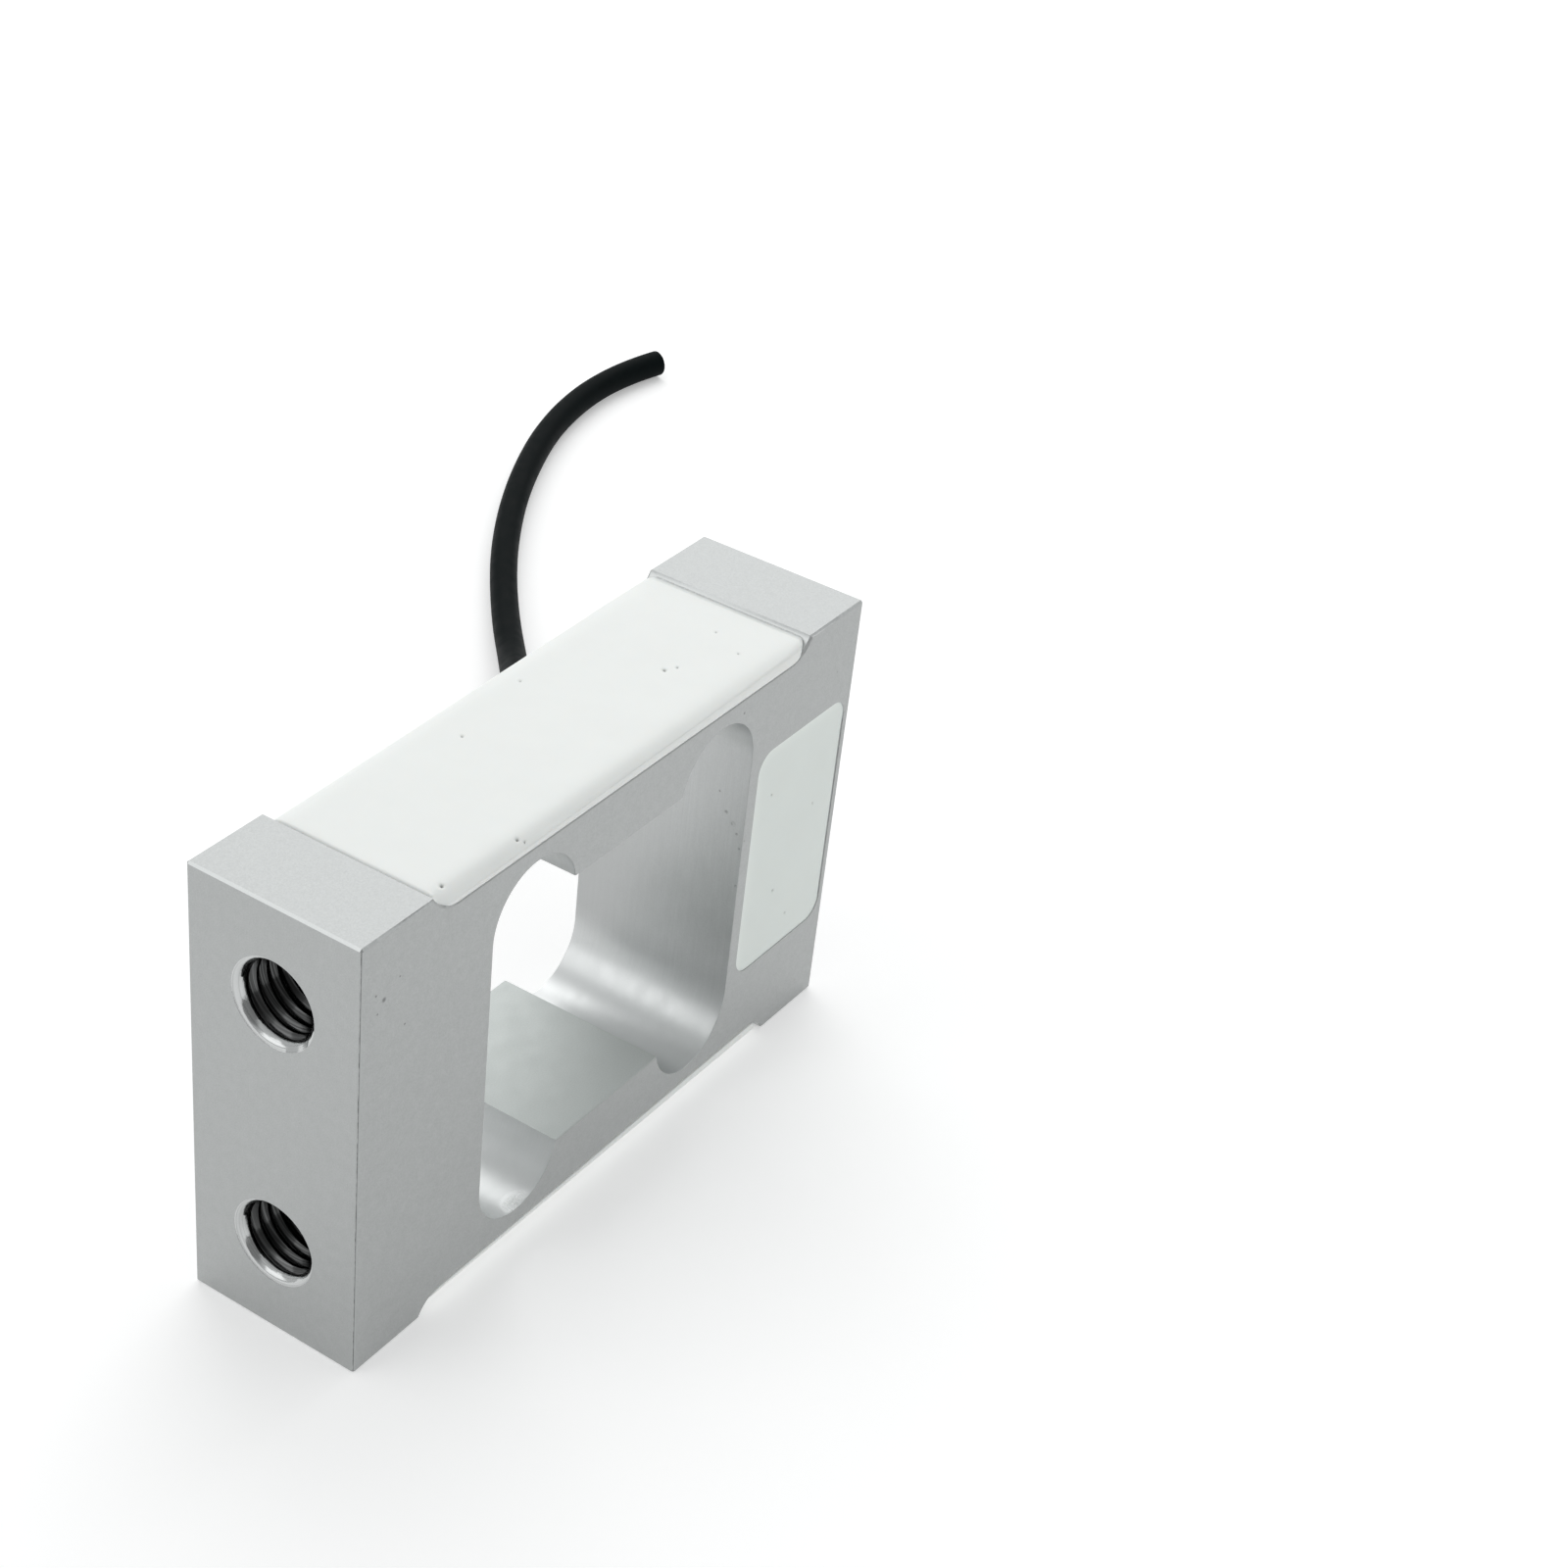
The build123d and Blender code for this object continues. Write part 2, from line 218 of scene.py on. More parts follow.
class LoadCellSizes(bpy.types.PropertyGroup):
    """Sizes of what is added around the machined frame"""

    edge_break: length_setting(
        name="Edge Break",
        description="Width of the broken edges around the window",
        default=0.16,
        limits=(0.02, 0.6),
    )
    thread_radius: length_setting(
        name="Thread Radius",
        description="Outer radius of the four mounting threads",
        default=6.0,
        limits=(5.3, 6.1),
    )
    thread_pitch: length_setting(
        name="Thread Pitch",
        description="Advance of the mounting threads in one turn",
        default=1.75,
        limits=(0.8, 2.5),
    )
    thread_depth: length_setting(
        name="Thread Depth",
        description="How deep the mounting threads are cut from the end faces",
        default=14.5,
        limits=(5.0, 15.5),
    )
    thread_start: length_setting(
        name="Thread Start",
        description="How far inside the mouth the threads begin, on the chamfer",
        default=0.85,
        limits=(0.2, 1.0),
    )
    thread_bore: length_setting(
        name="Thread Bore",
        description="Radius of the bore between the turns of the threads",
        default=5.12,
        limits=(5.11, 5.6),
    )
    thread_steps: IntProperty(
        name="Thread Steps",
        description="Facets in one turn of a thread",
        default=40,
        min=12,
        max=96,
    )
    silicone_wave: length_setting(
        name="Silicone Wave",
        description="How far the poured silicone rises and falls over its face",
        default=0.07,
        limits=(0.0, 0.2),
    )
    silicone_fall: length_setting(
        name="Silicone Fall",
        description="Width of the strip along the long edges where the silicone rounds down",
        default=3.0,
        limits=(1.8, 6.0),
    )
    silicone_rise: length_setting(
        name="Silicone Rise",
        description="How much higher the silicone of the recesses stands at the far end",
        default=0.18,
        limits=(0.0, 0.4),
    )
    silicone_sink: length_setting(
        name="Silicone Sink",
        description="How far the middle of the pocket's silicone lies below its rim",
        default=0.12,
        limits=(0.0, 0.4),
    )
    pinhole_depth: length_setting(
        name="Pinhole Depth",
        description="Depth of the pinholes left by air bubbles",
        default=0.28,
        limits=(0.0, 0.6),
    )
    cable_diameter: length_setting(
        name="Cable Diameter",
        description="Outside diameter of the cable's jacket",
        default=4.8,
        limits=(2.0, 4.8),
    )
    floor_size: FloatProperty(
        name="Floor Size",
        description="Side of the square floor",
        default=6.0,
        min=1.0,
        max=20.0,
        unit="LENGTH",
    )


class LoadCellColours(bpy.types.PropertyGroup):
    """Colours of the finishes that show"""

    aluminium: colour_setting(
        name="Aluminium",
        description="Matt blasted outside of the bar",
        default=(0.45, 0.461, 0.459),
    )
    milled: colour_setting(
        name="Milled Aluminium",
        description="Walls of the window, as the cutter left them",
        default=(0.552, 0.563, 0.562),
    )
    silicone: colour_setting(
        name="Silicone",
        description="Poured silicone in the recesses along the top and the bottom",
        default=(0.88, 0.9, 0.88),
    )
    pocket: colour_setting(
        name="Pocket Silicone",
        description="Poured silicone in the wiring pocket, a little greyer",
        default=(0.765, 0.812, 0.782),
    )
    jacket: colour_setting(
        name="Cable Jacket",
        description="Outside of the cable",
        default=(0.0042, 0.0064, 0.0068),
    )
    floor: colour_setting(
        name="Floor",
        description="Plain floor under the part",
        default=(0.82, 0.82, 0.82),
    )


class LoadCellView(bpy.types.PropertyGroup):
    """Where the camera stands and how the part is lit"""

    azimuth: FloatProperty(
        name="Azimuth",
        description="Camera's direction around the part, from the front side",
        default=math.radians(-56.68),
        subtype="ANGLE",
    )
    elevation: FloatProperty(
        name="Elevation",
        description="Camera's height over the part, as an angle",
        default=math.radians(37.43),
        subtype="ANGLE",
    )
    roll: FloatProperty(
        name="Roll",
        description="Turn of the camera about its own line of sight",
        default=math.radians(4.78),
        subtype="ANGLE",
    )
    distance: FloatProperty(
        name="Distance",
        description="From the camera to the middle of the view",
        default=364.7 * MM,
        unit="LENGTH",
    )
    side_step: FloatProperty(
        name="Side Step",
        description="How far the middle of the view lies to the right of the bar's middle",
        default=7.83 * MM,
        precision=5,
        unit="LENGTH",
    )
    drop: FloatProperty(
        name="Drop",
        description="How far the middle of the view lies below the bar's middle",
        default=7.29 * MM,
        precision=5,
        unit="LENGTH",
    )
    lens: FloatProperty(
        name="Lens",
        description="Focal length in millimetres on a 36 mm wide sensor",
        default=65.86,
        min=20.0,
        max=200.0,
    )
    shift: FloatVectorProperty(
        name="Shift",
        description="How far the picture is taken beside and above the line of sight",
        default=(0.1208, 0.1339),
        size=2,
    )
    sky: FloatProperty(
        name="Sky",
        description="Brightness of the even light from all round",
        default=0.66,
        min=0.0,
        max=5.0,
    )
    tent_opening: FloatProperty(
        name="Tent Opening",
        description="Brightness of the open front of the light tent, as a share of the sky",
        default=0.4,
        min=0.0,
        max=1.0,
    )
    floor_glow: FloatProperty(
        name="Floor Glow",
        description="Light that the floor gives off itself, like a light table",
        default=0.335,
        min=0.0,
        max=2.0,
    )
    key: FloatProperty(
        name="Key Light",
        description="Power of the large soft light above and behind the part, in watts",
        default=6.9,
        min=0.0,
        max=200.0,
    )
    fill: FloatProperty(
        name="Fill Light",
        description="Power of the soft light over the near left corner, in watts",
        default=2.0,
        min=0.0,
        max=200.0,
    )


class Finish:
    """A material whose patterns are laid out in millimetres on the piece itself."""

    def __init__(self, name, colour, roughness, metallic=0.0, specular=0.5):
        self.material = bpy.data.materials.new(name)
        self.material.use_nodes = True
        self.tree = self.material.node_tree
        self.shader = self.tree.nodes["Principled BSDF"]
        self.set("Base Color", (*colour, 1.0))
        self.set("Roughness", roughness)
        self.set("Metallic", metallic)
        self.set("Specular IOR Level", specular)
        self.place = self.tree.nodes.new("ShaderNodeTexCoord").outputs["Object"]
        self.normal = None

    def set(self, socket, value):
        """Sets one of the shader's own sockets."""
        self.shader.inputs[socket].default_value = value

    def link(self, source, target):
        """Joins two sockets."""
        self.tree.links.new(source, target)

    def spread(self, stretch):
        """Coordinates in millimetres, divided by a size on each axis."""
        mapping = self.tree.nodes.new("ShaderNodeMapping")
        mapping.inputs["Scale"].default_value = [1 / (size * MM) for size in stretch]
        self.link(self.place, mapping.inputs["Vector"])
        return mapping.outputs["Vector"]

    def grain(self, size, detail=2.0, rough=0.5):
        """Cloudy grain of a size in millimetres, one number or one for each axis."""
        stretch = size if isinstance(size, tuple) else (size, size, size)
        texture = self.tree.nodes.new("ShaderNodeTexNoise")
        texture.inputs["Scale"].default_value = 1.0
        texture.inputs["Detail"].default_value = detail
        texture.inputs["Roughness"].default_value = rough
        self.link(self.spread(stretch), texture.inputs["Vector"])
        return texture.outputs[0]

    def dots(self, pitch, radius, share):
        """Small round dots, 1 in their middles, in a share of the cells of a given pitch."""
        cells = self.tree.nodes.new("ShaderNodeTexVoronoi")
        cells.inputs["Scale"].default_value = 1.0
        self.link(self.spread((pitch, pitch, pitch)), cells.inputs["Vector"])
        inside = self.between(cells.outputs["Distance"], radius / pitch, 0.4 * radius / pitch)
        split = self.tree.nodes.new("ShaderNodeSeparateColor")
        self.link(cells.outputs["Color"], split.inputs[0])
        chosen = self.between(split.outputs[0], 1 - share, 1 - 0.9 * share)
        return self.combined(inside, chosen, "MULTIPLY")

    def away(self, axis, middle=0.0):
        """How far a place on the piece is from a middle, along one axis."""
        split = self.tree.nodes.new("ShaderNodeSeparateXYZ")
        self.link(self.place, split.inputs[0])
        offset = self.combined(split.outputs[axis], middle, "SUBTRACT")
        return self.combined(offset, 0.0, "ABSOLUTE")

    def spots(self, places):
        """Soft round spots at given places, each with its radius, 1 in their middles."""
        factor = None
        for place, radius in places:
            gap = self.tree.nodes.new("ShaderNodeVectorMath")
            gap.operation = "DISTANCE"
            self.link(self.place, gap.inputs[0])
            gap.inputs[1].default_value = place
            spot = self.between(gap.outputs["Value"], radius, 0.3 * radius)
            factor = self.combined(factor, spot, "MAXIMUM") if factor else spot
        return factor

    def painted(self, attribute):
        """A factor stored on the piece's own corners."""
        stored = self.tree.nodes.new("ShaderNodeAttribute")
        stored.attribute_name = attribute
        return stored.outputs["Fac"]

    def between(self, factor, low, high, to_low=0.0, to_high=1.0):
        """A factor spread from one range to another, and held at its ends."""
        spread = self.tree.nodes.new("ShaderNodeMapRange")
        spread.clamp = True
        for socket, value in zip(spread.inputs[1:5], (low, high, to_low, to_high)):
            socket.default_value = value
        self.link(factor, spread.inputs[0])
        return spread.outputs[0]

    def combined(self, first, second, operation):
        """Two factors joined by one sum."""
        node = self.tree.nodes.new("ShaderNodeMath")
        node.operation = operation
        for socket, value in zip(node.inputs, (first, second)):
            if isinstance(value, float):
                socket.default_value = value
            else:
                self.link(value, socket)
        return node.outputs[0]

    def weighed(self, first, first_share, second, second_share):
        """Two factors added, each with its share."""
        one = self.combined(first, first_share, "MULTIPLY")
        other = self.combined(second, second_share, "MULTIPLY")
        return self.combined(one, other, "ADD")

    def tone(self, factor, colours):
        """Colours laid along a factor from 0 to 1, each at its place."""
        ramp = self.tree.nodes.new("ShaderNodeValToRGB")
        stops = ramp.color_ramp.elements
        while len(stops) < len(colours):
            stops.new(0.5)
        for stop, (position, colour) in zip(stops, colours):
            stop.position = position
            stop.color = (*colour, 1.0)
        self.link(factor, ramp.inputs[0])
        return ramp.outputs[0]

    def overlay(self, base, colour, factor):
        """A colour laid over another one where the factor is high."""
        mix = self.tree.nodes.new("ShaderNodeMixRGB")
        self.link(factor, mix.inputs["Fac"])
        self.link(base, mix.inputs["Color1"])
        mix.inputs["Color2"].default_value = (*colour, 1.0)
        return mix.outputs[0]

    def colour_by(self, source):
        """Takes the surface colour from a pattern."""
        self.link(source, self.shader.inputs["Base Color"])

    def roughen(self, factor, low, high):
        """Lets the roughness follow a factor between two values."""
        spread = self.between(factor, GRAIN_LOW, GRAIN_HIGH, low, high)
        self.link(spread, self.shader.inputs["Roughness"])

    def emboss(self, factor, depth):
        """Adds fine relief, its depth in millimetres."""
        bump = self.tree.nodes.new("ShaderNodeBump")
        bump.inputs["Strength"].default_value = 1.0
        bump.inputs["Distance"].default_value = depth * MM
        self.link(factor, bump.inputs["Height"])
        if self.normal:
            self.link(self.normal, bump.inputs["Normal"])
        self.normal = bump.outputs["Normal"]
        self.link(self.normal, self.shader.inputs["Normal"])


def shade(colour, amount):
    """A colour made lighter or darker by a share."""
    return tuple(min(1.0, channel * (1 + amount)) for channel in colour)


def mottled(finish, factor, colour, amount):
    """Colour that varies by a share either way along a factor."""
    darker = shade(colour, -amount)
    lighter = shade(colour, amount)
    return finish.tone(factor, [(GRAIN_LOW, darker), (GRAIN_HIGH, lighter)])


def front_spot(x, z, size):
    """A spot on the bar's front side, from millimetres."""
    return (x * MM, bar_low.y, z * MM), size * MM


def blasted_aluminium(colour):
    """Matt blasted and anodised outside of the bar, with a few tiny dark pits."""
    finish = Finish("blasted_aluminium", colour, 0.5, metallic=1.0)
    fine = finish.grain(0.2)
    cloudy = finish.grain(1.3, detail=3.0)
    both = finish.weighed(fine, 0.62, cloudy, 0.38)
    base = mottled(finish, both, colour, 0.09)
    noted = finish.spots([front_spot(*pit) for pit in side_pits])
    strewn = finish.dots(2.1, 0.14, 0.06)
    pits = finish.combined(strewn, noted, "MAXIMUM")
    finish.colour_by(finish.overlay(base, shade(colour, -0.5), pits))
    finish.roughen(cloudy, 0.49, 0.53)
    finish.emboss(fine, 0.012)
    finish.emboss(pits, -0.05)
    return finish.material


def milled_aluminium(colour):
    """End walls of the window and its lobes, smoother, with faint lines along the cutter's way,
    painted shade towards the back and painted light on the lower lobes.
    """
    finish = Finish("milled_aluminium", colour, 0.4, metallic=1.0)
    lines = finish.grain((26.0, 0.09, 26.0), detail=3.0, rough=0.6)
    smears = finish.grain((3.0, 1.1, 5.0))
    grain = finish.grain(0.22)
    patchy = finish.weighed(grain, 0.5, smears, 0.5)
    base = mottled(finish, finish.weighed(lines, 0.4, patchy, 0.6), colour, 0.1)

    # Painted shade on the walls towards the back, and painted light on the lower lobes
    from_middle = finish.away(2, mid_height)
    toward_back = finish.between(finish.away(1, bar_low.y), 9.0 * MM, 24.0 * MM, 0.0, 0.6)
    beside_lobes = finish.between(from_middle, 21.0 * MM, 16.0 * MM)
    painted_back_shade = finish.combined(toward_back, beside_lobes, "MULTIPLY")
    base = finish.overlay(base, shade(colour, -0.27), painted_back_shade)
    painted_lobe_light = finish.between(finish.away(2), 14.0 * MM, 7.0 * MM, 0.0, 0.75)
    base = finish.overlay(base, shade(colour, 0.42), painted_lobe_light)

    # Scuffs on the wall, chips in the near lower lobe
    places = [((window_half_length, y * MM, z * MM), size * MM) for y, z, size in wall_scuffs]
    broken_up = finish.between(grain, 0.4, 0.55)
    scuffed = finish.combined(finish.spots(places), broken_up, "MULTIPLY")
    finish.colour_by(finish.overlay(base, shade(colour, -0.4), scuffed))
    chipped = finish.spots([front_spot(*lobe_chips)])
    chips = finish.combined(chipped, finish.grain(0.22, detail=1.0), "MULTIPLY")
    finish.emboss(chips, 0.14)

    in_lobe = finish.between(from_middle, 17.0 * MM, 22.0 * MM, 0.4, 0.42)
    smeared = finish.between(smears, GRAIN_LOW, GRAIN_HIGH, -0.03, 0.03)
    varied = finish.combined(in_lobe, smeared, "ADD")
    finish.link(varied, finish.shader.inputs["Roughness"])
    finish.emboss(lines, 0.002)
    finish.emboss(grain, 0.004)
    return finish.material


def matt_beam_faces(colour):
    """Faces of the beams inside the window, milled and then blasted, duller than the outside."""
    finish = Finish("matt_beam_faces", colour, 0.58, metallic=1.0)
    fine = finish.grain(0.2)
    cloudy = finish.grain(2.4)
    tinted = (1.25 * colour[0], 1.28 * colour[1], 1.26 * colour[2])
    finish.colour_by(mottled(finish, finish.weighed(fine, 0.7, cloudy, 0.3), tinted, 0.05))
    finish.roughen(cloudy, 0.57, 0.62)
    finish.emboss(fine, 0.009)
    return finish.material


def threaded_aluminium(colour):
    """Turned metal of the chamfers and threads, with painted shade that darkens it further in."""
    finish = Finish("threaded_aluminium", colour, 0.3, metallic=1.0)
    smear = finish.grain(0.9)
    # Painted shade: the colour darkens from the mouth inwards into the hole
    outer_end = bar_high.x - 0.8 * MM
    near_mouth = finish.between(finish.away(0), outer_end - 2.4 * MM, outer_end)
    painted_hole_shade = [(0.0, shade(colour, -0.93)), (0.45, shade(colour, -0.83)), (1.0, colour)]
    hole_shaded = finish.tone(near_mouth, painted_hole_shade)
    turned = finish.grain((0.1, 30.0, 30.0))
    groove = finish.between(turned, 0.5, 0.72, 0.0, 0.5)
    finish.colour_by(finish.overlay(hole_shaded, shade(colour, -0.55), groove))
    finish.roughen(smear, 0.13, 0.19)
    finish.emboss(turned, 0.008)
    return finish.material


def highlighted_edges(colour):
    """Broken edges in a lighter colour that paints a highlight on them, a little rubbed."""
    finish = Finish("highlighted_edges", colour, 0.26, metallic=1.0)
    rub = finish.grain(0.7, detail=3.0)
    finish.colour_by(mottled(finish, rub, shade(colour, 0.3), 0.08))
    finish.roughen(rub, 0.3, 0.42)
    finish.emboss(rub, 0.01)
    return finish.material


def dark_reflection_edges(colour):
    """Broken edges down the end faces, with a thin dark line of painted reflection along their
    middles.
    """
    finish = Finish("dark_reflection_edges", colour, 0.48, metallic=1.0)
    patches = finish.grain((0.4, 0.4, 0.9), detail=3.0, rough=0.6)
    beside = finish.combined(finish.away(0), finish.away(1), "SUBTRACT")
    off_middle = finish.combined(beside, float(bar_high.x - bar_high.y), "SUBTRACT")
    wandering = finish.between(patches, GRAIN_LOW, GRAIN_HIGH, -0.03 * MM, 0.03 * MM)
    off_line = finish.combined(off_middle, wandering, "ADD")
    from_line = finish.combined(off_line, 0.0, "ABSOLUTE")
    # Painted dark reflection: a thin dark line along each edge's middle
    line = finish.between(from_line, 0.11 * MM, 0.03 * MM)
    faded = finish.between(patches, GRAIN_LOW, 0.62, 1.0, 0.55)
    strength = finish.combined(line, faded, "MULTIPLY")
    base = mottled(finish, patches, colour, 0.06)
    finish.colour_by(finish.overlay(base, shade(colour, -0.8), strength))
    finish.emboss(patches, 0.01)
    return finish.material


def poured_silicone(name, colour):
    """Satin white silicone with soft clouds, a lighter rim and dark dust in its pinholes."""
    finish = Finish(name, colour, 0.42, specular=0.42)
    clouds = finish.grain(6.0, detail=3.0)
    skin = finish.grain(0.5)
    base = mottled(finish, clouds, colour, 0.012)
    rimmed = finish.overlay(base, shade(colour, 0.07), finish.painted("rim"))
    speckled = finish.overlay(rimmed, shade(colour, -0.4), finish.dots(3.1, 0.1, 0.08))
    dust_colour = (0.06, 0.06, 0.055)
    finish.colour_by(finish.overlay(speckled, dust_colour, finish.painted("dust")))
    finish.roughen(clouds, 0.38, 0.47)
    finish.set("Subsurface Weight", 0.25)
    finish.set("Subsurface Radius", (1.0, 0.9, 0.8))
    finish.set("Subsurface Scale", 0.6 * MM)
    finish.emboss(skin, 0.006)
    return finish.material


def jacket_plastic(colour):
    """Satin black cable jacket with the faint unevenness of an extruded tube."""
    finish = Finish("jacket_plastic", colour, 0.5, specular=0.02)
    skin = finish.grain(0.25)
    drawn = finish.grain(2.4)
    finish.colour_by(mottled(finish, drawn, colour, 0.18))
    finish.roughen(drawn, 0.44, 0.56)
    finish.emboss(skin, 0.006)
    return finish.material


def plain_finish(name, colour, roughness, metallic, grain_size, variation, relief):
    """Material of a small piece: its colour and gloss vary with a fine grain."""
    finish = Finish(name, colour, roughness, metallic=metallic)
    grain = finish.grain(grain_size)
    finish.colour_by(mottled(finish, grain, colour, variation))
    finish.roughen(grain, roughness - 0.06, roughness + 0.06)
    finish.emboss(grain, relief)
    return finish.material


def braided_wire(colour):
    """Tinned braid: crossing strands on a round sleeve."""
    finish = Finish("braided_wire", colour, 0.34, metallic=1.0)
    one_way = finish.grain((0.5, 0.12, 0.5), detail=1.0)
    other_way = finish.grain((0.12, 0.5, 0.12), detail=1.0)
    woven = finish.combined(one_way, other_way, "MAXIMUM")
    finish.colour_by(mottled(finish, woven, colour, 0.25))
    finish.emboss(woven, 0.05)
    return finish.material


# Small finishes: colour, roughness, metallic, grain in millimetres, variation and relief
small_finishes = {
    "polyimide_film": ((0.5, 0.26, 0.05), 0.24, 0.0, 0.6, 0.1, 0.002),
    "constantan_foil": ((0.6, 0.5, 0.4), 0.3, 1.0, (1.5, 0.08, 0.5), 0.1, 0.002),
    "bare_copper": ((0.76, 0.38, 0.22), 0.3, 1.0, 0.3, 0.14, 0.004),
    "bright_solder": ((0.7, 0.71, 0.72), 0.22, 1.0, 0.25, 0.1, 0.02),
    "enamelled_wire": ((0.42, 0.09, 0.03), 0.28, 0.0, 0.4, 0.15, 0.006),
    "solder_mask": ((0.02, 0.16, 0.06), 0.36, 0.0, 0.35, 0.12, 0.006),
    "glazed_resistor": ((0.018, 0.018, 0.02), 0.26, 0.0, 0.3, 0.2, 0.006),
    "tinned_end_cap": ((0.68, 0.69, 0.7), 0.28, 1.0, 0.2, 0.1, 0.01),
    "turned_brass": ((0.72, 0.54, 0.24), 0.26, 1.0, (2.0, 0.06, 2.0), 0.12, 0.006),
    "seal_rubber": ((0.02, 0.02, 0.021), 0.62, 0.0, 0.2, 0.25, 0.02),
    "red_insulation": ((0.55, 0.02, 0.02), 0.4, 0.0, 0.5, 0.1, 0.01),
    "green_insulation": ((0.02, 0.28, 0.06), 0.4, 0.0, 0.5, 0.1, 0.01),
    "white_insulation": ((0.8, 0.8, 0.78), 0.4, 0.0, 0.5, 0.05, 0.01),
    "black_insulation": ((0.02, 0.02, 0.02), 0.4, 0.0, 0.5, 0.2, 0.01),
}

# Frame nodes that stay as they are, by the start of their names
node_finishes = {
    "gauge_carrier": "polyimide_film",
    "terminal_strip": "polyimide_film",
    "gauge_grid": "constantan_foil",
    "terminal_pads": "bare_copper",
    "gauge_ribbons": "bare_copper",
    "board_pads": "bare_copper",
    "solder_dots": "bright_solder",
    "gauge_leads": "enamelled_wire",
    "bridge_board": "solder_mask",
    "zero_resistor": "glazed_resistor",
    "span_resistor": "glazed_resistor",
    "temperature_resistor": "glazed_resistor",
    "resistor_end_caps": "tinned_end_cap",
    "cable_ferrule": "turned_brass",
    "drain_wire": "tinned_end_cap",
    "core_red": "red_insulation",
    "core_green": "green_insulation",
    "core_white": "white_insulation",
    "core_black": "black_insulation",
}


def dress(starts):
    """Gives each frame node whose name starts so the finish that belongs to it."""
    dressed = 0
    for start in starts:
        name = node_finishes[start]
        material = bpy.data.materials.get(name) or plain_finish(name, *small_finishes[name])
        for node_name, node in sorted(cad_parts.items()):
            if node_name.startswith(start):
                cover(node, material)
                dressed += 1
    if not dressed:
        raise RuntimeError("the frame has none of the nodes " + ", ".join(starts))


def cover(node, material):
    """Puts one material on a frame node."""
    if not node.material_slots:
        node.data.materials.append(material)
    for material_slot in node.material_slots:
        material_slot.material = material


def copy_of(node_name):
    """A frame node's shape as one closed surface, with its flat sides whole again."""
    shape = bmesh.new()
    shape.from_mesh(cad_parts[node_name].data)
    bmesh.ops.remove_doubles(shape, verts=shape.verts, dist=MERGE_DISTANCE)
    bmesh.ops.dissolve_limit(
        shape,
        angle_limit=FLAT_ANGLE,
        use_dissolve_boundaries=False,
        verts=shape.verts,
        edges=shape.edges,
        delimit={"NORMAL"},
    )
    return shape


def mesh_of(name, shape):
    """A mesh made from a finished shape."""
    mesh = bpy.data.meshes.new(name)
    shape.to_mesh(mesh)
    shape.free()
    return mesh


def placed(name, data):
    """An object with its data, placed in the scene."""
    item = bpy.data.objects.new(name, data)
    bpy.context.scene.collection.objects.link(item)
    return item


def new_piece(name, shape, materials, replaced, crease_angle=CREASE_ANGLE):
    """Makes a piece from a finished shape, smooth except over its creases."""
    mesh = mesh_of(name, shape)
    for material in materials:
        mesh.materials.append(material)
    mesh.shade_smooth()
    mesh.set_sharp_from_angle(angle=crease_angle)
    piece = placed(name, mesh)
    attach(piece, "root")
    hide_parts(*replaced)
    return piece


def even_normals(piece):
    """Keeps the flat sides flat where a rounded edge meets them."""
    weighting = piece.modifiers.new("Even Normals", "WEIGHTED_NORMAL")
    weighting.keep_sharp = True


class LOADCELL_OT_camera(bpy.types.Operator):
    """Sets up the camera before the near left corner, looking down on the bar"""

    bl_idname = "load_cell.camera"
    bl_label = "Camera"
    bl_options = {"REGISTER", "UNDO"}

    def execute(self, context):
        view = context.scene.load_cell_view
        across = Vector((math.sin(view.azimuth), -math.cos(view.azimuth), 0.0))
        back = across * math.cos(view.elevation) + Vector((0, 0, math.sin(view.elevation)))
        right = (-back).cross(Vector((0, 0, 1))).normalized()
        up = right.cross(-back)
        eye = bar_middle + right * view.side_step - up * view.drop + back * view.distance
        turn = Matrix((right, up, back)).transposed() @ Matrix.Rotation(view.roll, 3, "Z")
        data = bpy.data.cameras.new("camera")
        data.lens = view.lens
        data.sensor_width = 36.0
        data.shift_x, data.shift_y = view.shift
        data.clip_start = 0.01
        camera = placed("camera", data)
        camera.matrix_world = Matrix.Translation(eye) @ turn.to_4x4()
        context.scene.camera = camera
        return {"FINISHED"}


class LOADCELL_OT_cable(bpy.types.Operator):
    """Adds the free cable, from the back side down to its plain cut end on the bench"""

    bl_idname = "load_cell.cable"
    bl_label = "Cable"
    bl_options = {"REGISTER", "UNDO"}

    def execute(self, context):
        sizes = context.scene.load_cell_sizes
        curve = bpy.data.curves.new("cable_jacket", "CURVE")
        curve.dimensions = "3D"
        spline = curve.splines.new("NURBS")
        spline.points.add(len(cable_route) - 1)
        for point, place in zip(spline.points, cable_route):
            point.co = (*(Vector(place) * MM), 1.0)
        spline.order_u = 3
        spline.use_endpoint_u = True
        spline.resolution_u = 16
        curve.resolution_u = 16
        curve.bevel_depth = sizes.cable_diameter / 2
        curve.bevel_resolution = 8
        curve.use_fill_caps = True
        curve.materials.append(jacket_plastic(context.scene.load_cell_colours.jacket))
        cable = placed("cable_jacket", curve)
        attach(cable, "root")
        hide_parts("cable")
        return {"FINISHED"}


def in_window(place):
    """Whether a place is within the window or on its walls."""
    within_ends = abs(place.x) < window_half_length + NEARBY
    return within_ends and abs(place.z - mid_height) < lobe_reach


